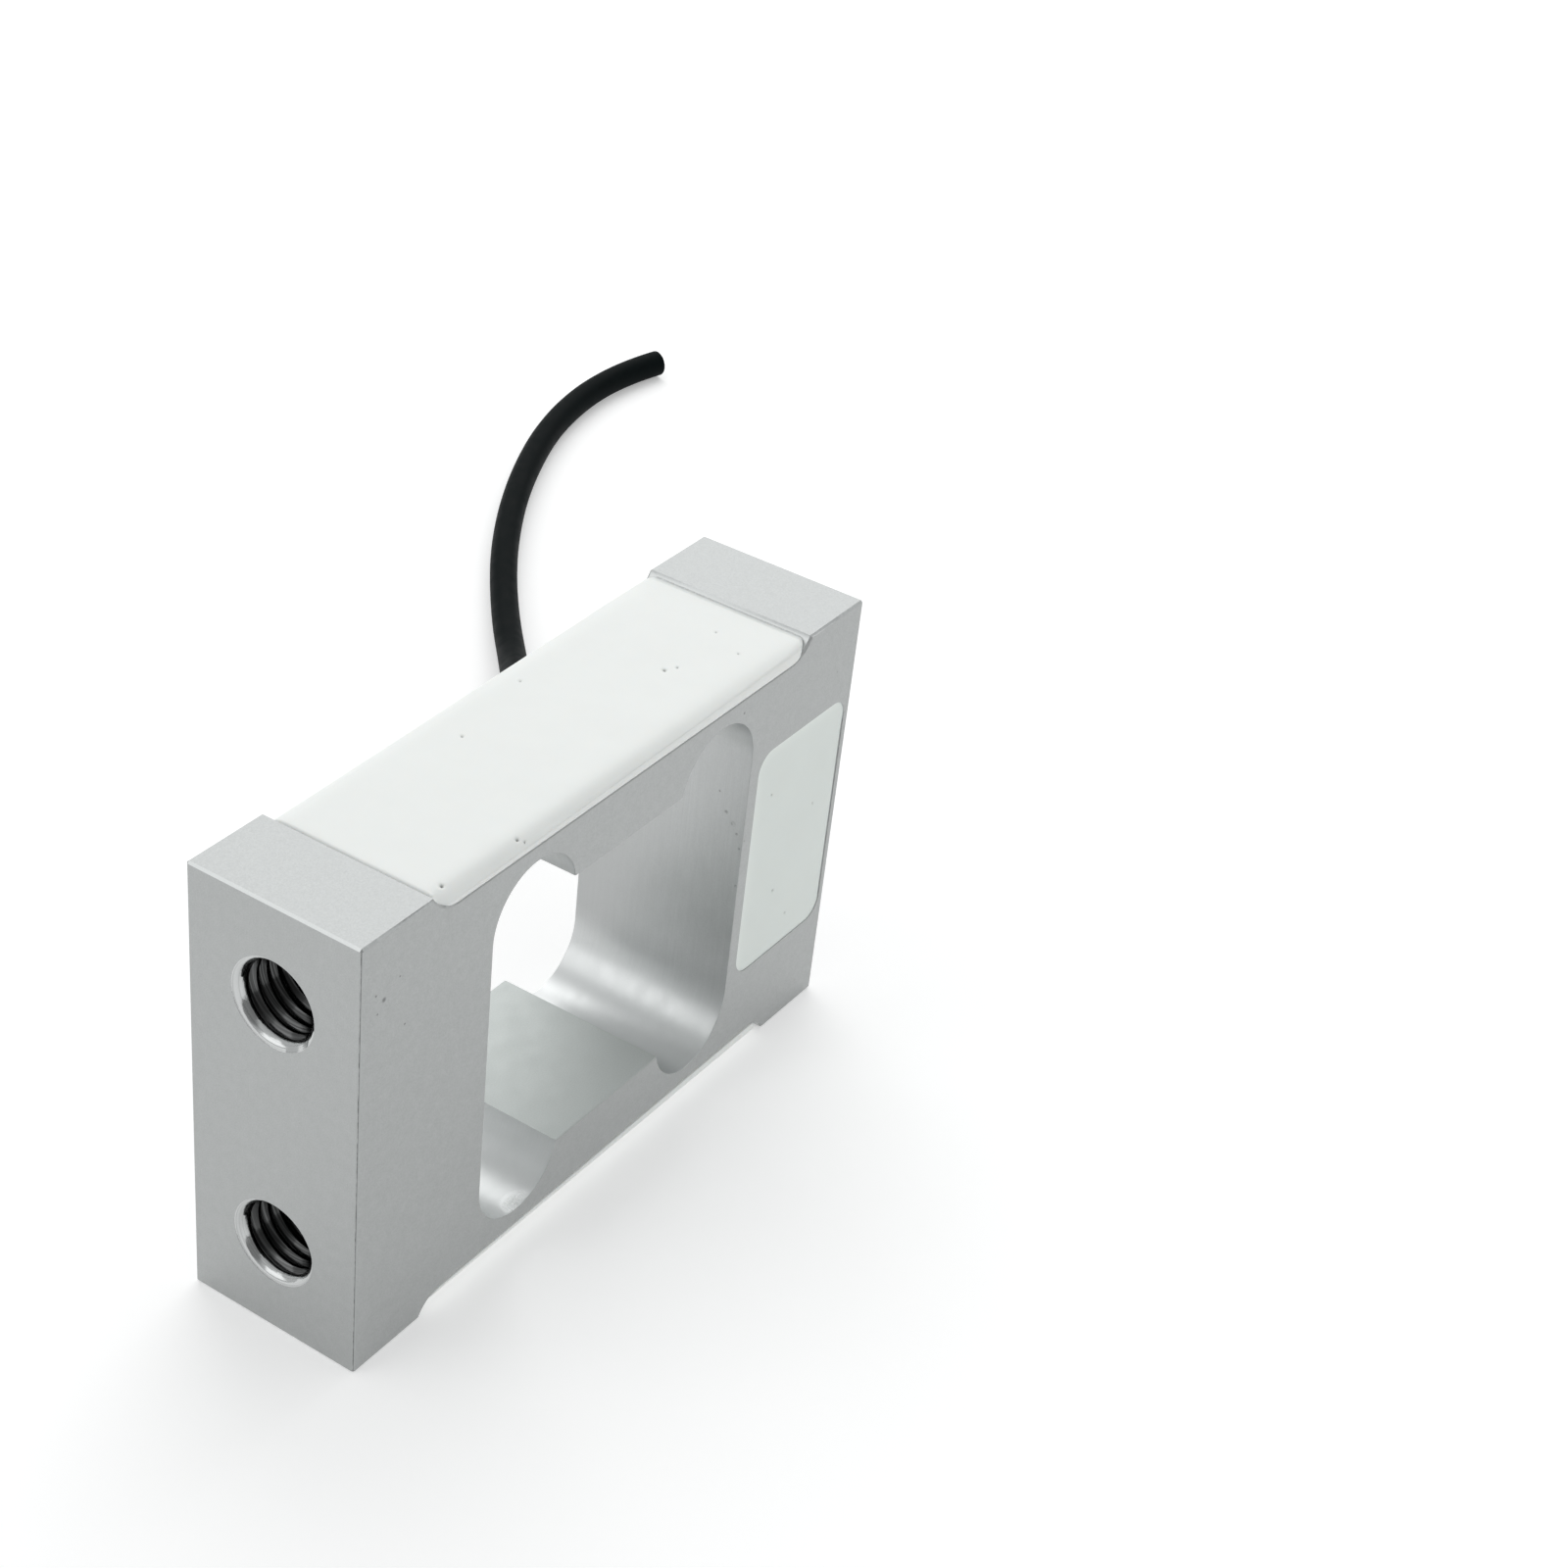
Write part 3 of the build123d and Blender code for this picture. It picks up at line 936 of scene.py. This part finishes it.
def thread_cutter(sizes):
    """Helical cutter along X from just outside a mouth, which is at X = 0, inwards."""
    pitch = sizes.thread_pitch
    crest = sizes.thread_bore
    root = sizes.thread_radius
    flank_angle = math.radians(30)
    flank = (root - crest) * math.tan(flank_angle)
    land = (pitch - 2 * flank) / 3
    before_mouth = -2 * pitch
    profile = [
        (0.0, crest),
        (2 * land, crest),
        (2 * land + flank, root),
        (3 * land + flank, root),
        (pitch, crest),
    ]
    shape = bmesh.new()
    corners = [shape.verts.new((before_mouth + along, 0.0, radius)) for along, radius in profile]
    for first, second in zip(corners, corners[1:]):
        shape.edges.new((first, second))
    spare_turns = 3
    turns = math.ceil(sizes.thread_depth / pitch) + spare_turns
    bmesh.ops.spin(
        shape,
        geom=shape.verts[:] + shape.edges[:],
        cent=(0, 0, 0),
        axis=(1, 0, 0),
        dvec=(pitch / sizes.thread_steps, 0, 0),
        angle=2 * math.pi * turns,
        steps=sizes.thread_steps * turns,
        use_merge=False,
    )
    bmesh.ops.remove_doubles(shape, verts=shape.verts, dist=MERGE_DISTANCE)
    for corner in shape.verts:
        radius = math.hypot(corner.co.y, corner.co.z)
        past_start = max(0.0, corner.co.x - sizes.thread_start)
        lead_in = min(1.0, (mouth_radius - sizes.thread_start + past_start) / radius)
        corner.co.y *= lead_in
        corner.co.z *= lead_in
    outside_mouth = -0.5 * MM
    for place, outward in ((outside_mouth, -1), (sizes.thread_depth, 1)):
        bmesh.ops.bisect_plane(
            shape,
            geom=shape.verts[:] + shape.edges[:] + shape.faces[:],
            dist=CUT_DISTANCE,
            plane_co=(place, 0, 0),
            plane_no=(outward, 0, 0),
            clear_outer=True,
        )
    rims = [edge for edge in shape.edges if edge.is_boundary]
    bmesh.ops.holes_fill(shape, edges=rims, sides=0)
    bmesh.ops.recalc_face_normals(shape, faces=shape.faces)
    return shape


def cut_threads(piece, sizes):
    """Cuts the thread into all four tapped holes of the bar."""
    cutters = bmesh.new()
    for side in (-1, 1):
        for level in mounting_hole_levels:
            cutter = thread_cutter(sizes)
            turn = Matrix.Rotation(0.0 if side < 0 else math.pi, 4, "Z")
            place = Matrix.Translation((side * bar_high.x, 0.0, mid_height + level))
            bmesh.ops.transform(cutter, matrix=place @ turn, verts=cutter.verts)
            loose = mesh_of("thread_cutter", cutter)
            cutters.from_mesh(loose)
            bpy.data.meshes.remove(loose)
    mesh = mesh_of("thread_cutters", cutters)
    tool = placed("thread_cutters", mesh)
    cut = piece.modifiers.new("Threads", "BOOLEAN")
    cut.operation = "DIFFERENCE"
    cut.solver = "EXACT"
    cut.object = tool
    bpy.context.view_layer.update()
    depsgraph = bpy.context.evaluated_depsgraph_get()
    finished = bpy.data.meshes.new_from_object(piece.evaluated_get(depsgraph))
    piece.modifiers.clear()
    old = piece.data
    piece.data = finished
    bpy.data.meshes.remove(old)
    bpy.data.objects.remove(tool)
    bpy.data.meshes.remove(mesh)


def finish_of(face):
    """Which finish of the bar a face gets, by where it is and which way it looks."""
    look = face.normal
    place = face.center
    from_middle = abs(place.z - mid_height)
    for level in mounting_hole_levels:
        from_axis = math.hypot(place.y, place.z - mid_height - level)
        in_mouth = from_axis < mouth_radius + 0.15 * MM and abs(place.x) > window_half_length
        if in_mouth and abs(look.x) < STRAIGHT:
            return THREADED
    if abs(look.y) < 0.5 and in_window(place):
        on_beam = abs(from_middle - window_half_height) < 0.5 * NEARBY
        return BEAM if on_beam else MILLED
    # Recess walls across the bar before the lands: the lighter edge colour paints light on them
    in_recess = from_middle > mid_height - recess_depth - NEARBY
    before_land = abs(place.x) < land_start + NEARBY
    if in_recess and before_land and abs(look.x) > ACROSS and abs(look.y) < ACROSS:
        return PAINTED_HIGHLIGHT
    broken_width = 0.4 * MM
    slanted = [abs(abs(part) - math.sqrt(0.5)) < 0.02 for part in look]
    # End chamfers: upright ones get the painted dark reflection line, the others the painted
    # highlight
    if slanted[0] and abs(place.x) > bar_high.x - broken_width:
        return PAINTED_DARK_LINE if slanted[1] else PAINTED_HIGHLIGHT
    # Long chamfers along the lands: the lighter edge colour paints a highlight on them
    on_land = slanted[1] and slanted[2] and from_middle > mid_height - broken_width
    return PAINTED_HIGHLIGHT if on_land else BLASTED


class LOADCELL_OT_bar(bpy.types.Operator):
    """Adds the machined bar with broken edges and real threads in its four tapped holes"""

    bl_idname = "load_cell.bar"
    bl_label = "Machined Bar"
    bl_options = {"REGISTER", "UNDO"}

    def execute(self, context):
        sizes = context.scene.load_cell_sizes
        colours = context.scene.load_cell_colours
        shape = copy_of("spring_element")
        window_edges = []
        for edge in shape.edges:
            first, second = (corner.co for corner in edge.verts)
            on_side = abs(abs(first.y) - bar_high.y) < MERGE_DISTANCE
            in_side = abs(first.y - second.y) < MERGE_DISTANCE
            sharp = edge.is_manifold and edge.calc_face_angle(0.0) > CORNER_ANGLE
            if on_side and in_side and sharp and in_window((first + second) / 2):
                window_edges.append(edge)
        if not window_edges:
            raise RuntimeError("the bar has no window edges to break")
        bmesh.ops.bevel(
            shape,
            geom=window_edges,
            offset=sizes.edge_break,
            offset_type="OFFSET",
            affect="EDGES",
            segments=2,
            profile=0.5,
            material=-1,
        )
        finishes = [
            blasted_aluminium(colours.aluminium),
            milled_aluminium(colours.milled),
            matt_beam_faces(colours.aluminium),
            threaded_aluminium(colours.milled),
            highlighted_edges(colours.aluminium),
            dark_reflection_edges(colours.aluminium),
        ]
        piece = new_piece("machined_bar", shape, finishes, ["spring_element"])
        cut_threads(piece, sizes)
        mesh = piece.data
        for face in mesh.polygons:
            face.material_index = finish_of(face)
        mesh.shade_smooth()
        mesh.set_sharp_from_angle(angle=CREASE_ANGLE)
        even_normals(piece)
        return {"FINISHED"}


def score(shape, axis, places, chosen):
    """Divides the chosen faces along planes across one axis."""
    for place in places:
        faces = [face for face in shape.faces if chosen(face)]
        edges = {edge for face in faces for edge in face.edges}
        corners = {corner for face in faces for corner in face.verts}
        across = Vector((0, 0, 0))
        across[axis] = 1
        bmesh.ops.bisect_plane(
            shape,
            geom=[*corners, *edges, *faces],
            dist=CUT_DISTANCE,
            plane_co=across * place,
            plane_no=across,
        )


def spaced(low, high, step):
    """Places between two ends, about a step apart, without the ends."""
    count = max(1, round((high - low) / step))
    return [low + (high - low) * index / count for index in range(1, count)]


def open_pinholes(shape, plane_axes, outward, pinholes, depth, on_face):
    """Refines the face around each pinhole and sinks it, and marks its dust."""
    dust = shape.verts.layers.float.new("dust")
    first, second = plane_axes
    for cuts in (2, 1):
        refined_radius = (0.5 + 0.45 * cuts) * MM
        near = set()
        for u, v, _ in pinholes:
            for edge in shape.edges:
                middle = (edge.verts[0].co + edge.verts[1].co) / 2
                away = math.hypot(middle[first] - u * MM, middle[second] - v * MM)
                if away < refined_radius and all(on_face(corner) for corner in edge.verts):
                    near.add(edge)
        bmesh.ops.subdivide_edges(shape, edges=list(near), cuts=cuts, use_grid_fill=True)
    reach_in_widths = 3
    steepness = 1.6
    for u, v, width in pinholes:
        for corner in shape.verts:
            if not on_face(corner):
                continue
            away = math.hypot(corner.co[first] - u * MM, corner.co[second] - v * MM)
            away /= width * MM
            if away < reach_in_widths:
                sink = math.exp(-away * away * steepness)
                corner.co -= outward * depth * sink
                corner[dust] = min(1.0, corner[dust] + sink * sink)


def on_run_out(corner):
    """Whether a corner of the silicone lies against one of the recesses' round run-outs."""
    beyond_axis = abs(corner.co.x) - run_out_axis_x
    below_axis = run_out_axis_height - abs(corner.co.z - mid_height)
    from_round = abs(math.hypot(beyond_axis, below_axis) - run_out_radius)
    return beyond_axis > 0 and from_round < 0.3 * NEARBY


def roll_edges(shape, low, high, face_level, outward, fall_width):
    """Rounds silicone down along its long edges, most at the near end."""
    for corner in shape.verts:
        depth = (face_level - corner.co.z) * outward.z
        to_side = min(corner.co.y - low.y, high.y - corner.co.y)
        into_edge = 1 - to_side / fall_width
        if into_edge <= 0 or depth >= rolled_height or on_run_out(corner):
            continue
        toward_far = (corner.co.x - low.x) / (high.x - low.x)
        from_far_end = min(1.0, (high.x - corner.co.x) / far_end_fade)
        edge_drop = (near_edge_drop - edge_drop_lost * toward_far) * from_far_end
        fallen = edge_drop * into_edge**fall_power
        rolled = depth * (1 - roll_lost * toward_far)
        corner.co.z -= outward.z * (max(fallen, rolled) - depth)


def wave_face(shape, low, high, outward, sizes, on_face):
    """Raises a poured face towards the far end, waves it and gives it a lip at both ends."""
    for corner in shape.verts:
        if not on_face(corner):
            continue
        to_end = min(corner.co.x - low.x, high.x - corner.co.x)
        fade = min(1.0, to_end / end_fade)
        toward_far = (corner.co.x - low.x) / (high.x - low.x)
        corner.co += outward * sizes.silicone_rise * toward_far**2
        broad = noise.noise(corner.co * broad_waves_per_metre)
        fine = noise.noise(corner.co * fine_waves_per_metre)
        wave = broad + fine_wave_share * fine
        corner.co += outward * sizes.silicone_wave * wave * fade
        lip = math.exp(-to_end / end_lip_width)
        corner.co += outward * end_lip_height * lip * fade


def rows_between(low, high, near_rows, step):
    """Places where a face is divided: given rows near both ends, even ones between them."""
    rows = [low + row for row in near_rows] + [high - row for row in near_rows]
    rows += spaced(low + near_rows[-1], high - near_rows[-1], step)
    return sorted(rows)


def recess_cover(name, node_name, outward, pinholes, context):
    """Silicone of one recess, with its poured face divided, rolled, pitted and waved."""
    sizes = context.scene.load_cell_sizes
    low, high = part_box(node_name)
    shape = copy_of(node_name)
    face_level = high.z if outward.z > 0 else low.z

    def on_skin(face):
        return (face.calc_center_median().z - face_level) * outward.z > -skin_depth

    def on_face(corner):
        return (corner.co.z - face_level) * outward.z > -face_depth

    score(shape, 0, spaced(low.x, high.x, cover_step), on_skin)
    score(shape, 1, rows_between(low.y, high.y, edge_rows, cover_step), on_skin)
    roll_edges(shape, low, high, face_level, outward, sizes.silicone_fall)
    open_pinholes(shape, (0, 1), outward, pinholes, sizes.pinhole_depth, on_face)
    wave_face(shape, low, high, outward, sizes, on_face)
    bmesh.ops.recalc_face_normals(shape, faces=shape.faces)
    material = bpy.data.materials.get("poured_silicone")
    if material is None:
        material = poured_silicone("poured_silicone", context.scene.load_cell_colours.silicone)
    new_piece(name, shape, [material], [node_name], SOFT_CREASE_ANGLE)


class LOADCELL_OT_recess_silicone(bpy.types.Operator):
    """Adds the poured silicone in the recesses along the top and the bottom"""

    bl_idname = "load_cell.recess_silicone"
    bl_label = "Recess Silicone"
    bl_options = {"REGISTER", "UNDO"}

    def execute(self, context):
        upwards = Vector((0, 0, 1))
        recess_cover("top_silicone", "silicone_top", upwards, top_pinholes, context)
        recess_cover("bottom_silicone", "silicone_bottom", -upwards, bottom_pinholes, context)
        return {"FINISHED"}


class LOADCELL_OT_pocket_silicone(bpy.types.Operator):
    """Adds the silicone that fills the wiring pocket, a little sunk between its rims"""

    bl_idname = "load_cell.pocket_silicone"
    bl_label = "Pocket Silicone"
    bl_options = {"REGISTER", "UNDO"}

    def execute(self, context):
        sizes = context.scene.load_cell_sizes
        low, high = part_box("silicone_pocket")
        shape = copy_of("silicone_pocket")
        outward = Vector((0, -1, 0))

        def on_skin(face):
            return face.calc_center_median().y < low.y + 0.1 * NEARBY

        def on_face(corner):
            return corner.co.y < low.y + 3 * NEARBY

        score(shape, 0, rows_between(low.x, high.x, pocket_rows, pocket_step), on_skin)
        score(shape, 2, rows_between(low.z, high.z, pocket_rows, pocket_step), on_skin)
        open_pinholes(shape, (0, 2), outward, pocket_pinholes, sizes.pinhole_depth, on_face)
        middle = (low + high) / 2
        half = (high - low) / 2
        rim = shape.verts.layers.float.new("rim")
        for corner in shape.verts:
            if not on_face(corner):
                continue
            beside = abs(corner.co.x - middle.x) - (half.x - pocket_corner_radius)
            above = abs(corner.co.z - middle.z) - (half.z - pocket_corner_radius)
            round_corner = beside > 0 and above > 0
            outermost = math.hypot(beside, above) if round_corner else max(beside, above)
            inset = max(0.0, pocket_corner_radius - outermost)
            settled = 1 - math.exp(-inset / pocket_rim_width)
            corner[rim] = 1 - settled
            wave = noise.noise(corner.co * pocket_waves_per_metre)
            corner.co -= outward * settled * (sizes.silicone_sink + sizes.silicone_wave * wave)
        bmesh.ops.recalc_face_normals(shape, faces=shape.faces)
        material = poured_silicone("pocket_silicone", context.scene.load_cell_colours.pocket)
        piece = new_piece("pocket_silicone", shape, [material], ["silicone_pocket"])
        even_normals(piece)
        return {"FINISHED"}


class LOADCELL_OT_gauges(bpy.types.Operator):
    """Finishes the foil gauges, their terminals and their leads under the silicone"""

    bl_idname = "load_cell.gauges"
    bl_label = "Gauges"
    bl_options = {"REGISTER", "UNDO"}

    def execute(self, context):
        dress(["gauge_carrier", "terminal_strip", "gauge_grid", "terminal_pads", "gauge_ribbons"])
        dress(["solder_dots", "gauge_leads"])
        return {"FINISHED"}


class LOADCELL_OT_bridge_board(bpy.types.Operator):
    """Finishes the bridge board and its parts in the wiring pocket"""

    bl_idname = "load_cell.bridge_board"
    bl_label = "Bridge Board"
    bl_options = {"REGISTER", "UNDO"}

    def execute(self, context):
        dress(["bridge_board", "board_pads", "resistor_end_caps"])
        dress(["zero_resistor", "span_resistor", "temperature_resistor"])
        return {"FINISHED"}


class LOADCELL_OT_cable_end(bpy.types.Operator):
    """Finishes the cable's end inside the bar, and adds the moulded seal around it"""

    bl_idname = "load_cell.cable_end"
    bl_label = "Cable End"
    bl_options = {"REGISTER", "UNDO"}

    def execute(self, context):
        dress(["cable_ferrule", "drain_wire", "core_red", "core_green", "core_white", "core_black"])
        cover(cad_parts["cable_braid"], braided_wire((0.62, 0.63, 0.64)))
        cover(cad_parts["cable_jacket_inner"], bpy.data.materials["jacket_plastic"])

        # Seal ring with a small lip around the cable, spun about the cable's axis
        low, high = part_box("cable_seal")
        outer = (high.x - low.x) / 2
        inner = context.scene.load_cell_sizes.cable_diameter / 2
        wall = outer - inner
        section = [
            (inner, low.y),
            (outer, low.y),
            (outer, high.y - 0.35 * MM),
            (outer - 0.25 * wall, high.y - 0.08 * MM),
            (outer - 0.55 * wall, high.y - 0.22 * MM),
            (inner + 0.22 * wall, high.y),
            (inner, high.y - 0.16 * MM),
        ]
        shape = bmesh.new()
        corners = [shape.verts.new((radius, along, 0.0)) for radius, along in section]
        for first, second in zip(corners, corners[1:] + corners[:1]):
            shape.edges.new((first, second))
        bmesh.ops.spin(
            shape,
            geom=shape.verts[:] + shape.edges[:],
            cent=(0, 0, 0),
            axis=(0, 1, 0),
            angle=2 * math.pi,
            steps=48,
            use_merge=True,
        )
        bmesh.ops.remove_doubles(shape, verts=shape.verts, dist=MERGE_DISTANCE)
        bmesh.ops.recalc_face_normals(shape, faces=shape.faces)
        bmesh.ops.translate(shape, vec=(cable_exit.x, 0.0, cable_exit.z), verts=shape.verts)
        rubber = plain_finish("seal_rubber", *small_finishes["seal_rubber"])
        new_piece("seal_ring", shape, [rubber], ["cable_seal"])
        return {"FINISHED"}


class LOADCELL_OT_stage(bpy.types.Operator):
    """Adds the plain pale floor and the soft studio light"""

    bl_idname = "load_cell.stage"
    bl_label = "Stage"
    bl_options = {"REGISTER", "UNDO"}

    def execute(self, context):
        scene = context.scene
        view = scene.load_cell_view
        shape = bmesh.new()
        half_size = scene.load_cell_sizes.floor_size / 2
        bmesh.ops.create_grid(shape, x_segments=1, y_segments=1, size=half_size)
        bmesh.ops.translate(shape, vec=(0, 0, -0.5 * NEARBY), verts=shape.verts)
        mesh = mesh_of("floor", shape)
        paper = Finish("floor_paper", scene.load_cell_colours.floor, 0.9, specular=0.1)
        paper.set("Emission Color", (1.0, 1.0, 1.0, 1.0))
        paper.set("Emission Strength", view.floor_glow)
        mesh.materials.append(paper.material)
        floor = placed("floor", mesh)

        world = bpy.data.worlds.new("studio")
        world.use_nodes = True
        light_tent(world.node_tree, view)
        scene.world = world

        soft_light("key_light", *key_stand, view.key)
        soft_light("fill_light", *fill_stand, view.fill)
        scene.view_settings.view_transform = "Standard"
        return {"FINISHED"}


def light_tent(tree, view):
    """Even light from all round, but for the open front of the tent, which is dim."""
    tent = tree.nodes["Background"]
    tent.inputs["Color"].default_value = tent_colour
    looked_at = tree.nodes.new("ShaderNodeTexCoord")
    toward_front = tree.nodes.new("ShaderNodeVectorMath")
    toward_front.operation = "DOT_PRODUCT"
    toward_front.inputs[1].default_value = Vector(tent_front).normalized()
    fading = tree.nodes.new("ShaderNodeMapRange")
    fading.interpolation_type = "SMOOTHSTEP"
    fading.inputs["From Min"].default_value = tent_fade[0]
    fading.inputs["From Max"].default_value = tent_fade[1]
    fading.inputs["To Min"].default_value = view.sky
    fading.inputs["To Max"].default_value = view.sky * view.tent_opening
    tree.links.new(looked_at.outputs["Generated"], toward_front.inputs[0])
    tree.links.new(toward_front.outputs["Value"], fading.inputs["Value"])
    tree.links.new(fading.outputs["Result"], tent.inputs["Strength"])


def soft_light(name, direction, distance, width, power):
    """Square soft light at a distance in a direction, turned to the bar."""
    data = bpy.data.lights.new(name, "AREA")
    data.shape = "SQUARE"
    data.size = width
    data.energy = power
    light = placed(name, data)
    toward = Vector(direction).normalized()
    turn = toward.to_track_quat("Z", "Y").to_matrix().to_4x4()
    light.matrix_world = Matrix.Translation(bar_middle + toward * distance) @ turn


class LOADCELL_PT_panel(bpy.types.Panel):
    """Lists the steps that build the load cell, and their settings"""

    bl_idname = "LOADCELL_PT_panel"
    bl_label = "Load Cell"
    bl_space_type = "VIEW_3D"
    bl_region_type = "UI"
    bl_category = "Load Cell"

    def draw(self, context):
        for operator in steps:
            self.layout.operator(operator.bl_idname)
        for group in (
            context.scene.load_cell_sizes,
            context.scene.load_cell_colours,
            context.scene.load_cell_view,
        ):
            box = self.layout.box()
            for name in group.__annotations__:
                box.prop(group, name)


steps = (
    LOADCELL_OT_camera,
    LOADCELL_OT_cable,
    LOADCELL_OT_bar,
    LOADCELL_OT_recess_silicone,
    LOADCELL_OT_pocket_silicone,
    LOADCELL_OT_gauges,
    LOADCELL_OT_bridge_board,
    LOADCELL_OT_cable_end,
    LOADCELL_OT_stage,
)
groups = (LoadCellSizes, LoadCellColours, LoadCellView)


def register():
    for item in (*groups, *steps, LOADCELL_PT_panel):
        bpy.utils.register_class(item)
    bpy.types.Scene.load_cell_sizes = PointerProperty(type=LoadCellSizes)
    bpy.types.Scene.load_cell_colours = PointerProperty(type=LoadCellColours)
    bpy.types.Scene.load_cell_view = PointerProperty(type=LoadCellView)


def unregister():
    del bpy.types.Scene.load_cell_view
    del bpy.types.Scene.load_cell_colours
    del bpy.types.Scene.load_cell_sizes
    for item in reversed((*groups, *steps, LOADCELL_PT_panel)):
        bpy.utils.unregister_class(item)


def main():
    register()
    bpy.ops.load_cell.camera()
    bpy.ops.load_cell.cable()
    bpy.ops.load_cell.bar()
    bpy.ops.load_cell.recess_silicone()
    bpy.ops.load_cell.pocket_silicone()
    bpy.ops.load_cell.gauges()
    bpy.ops.load_cell.bridge_board()
    bpy.ops.load_cell.cable_end()
    bpy.ops.load_cell.stage()


if __name__ == "__main__":
    main()
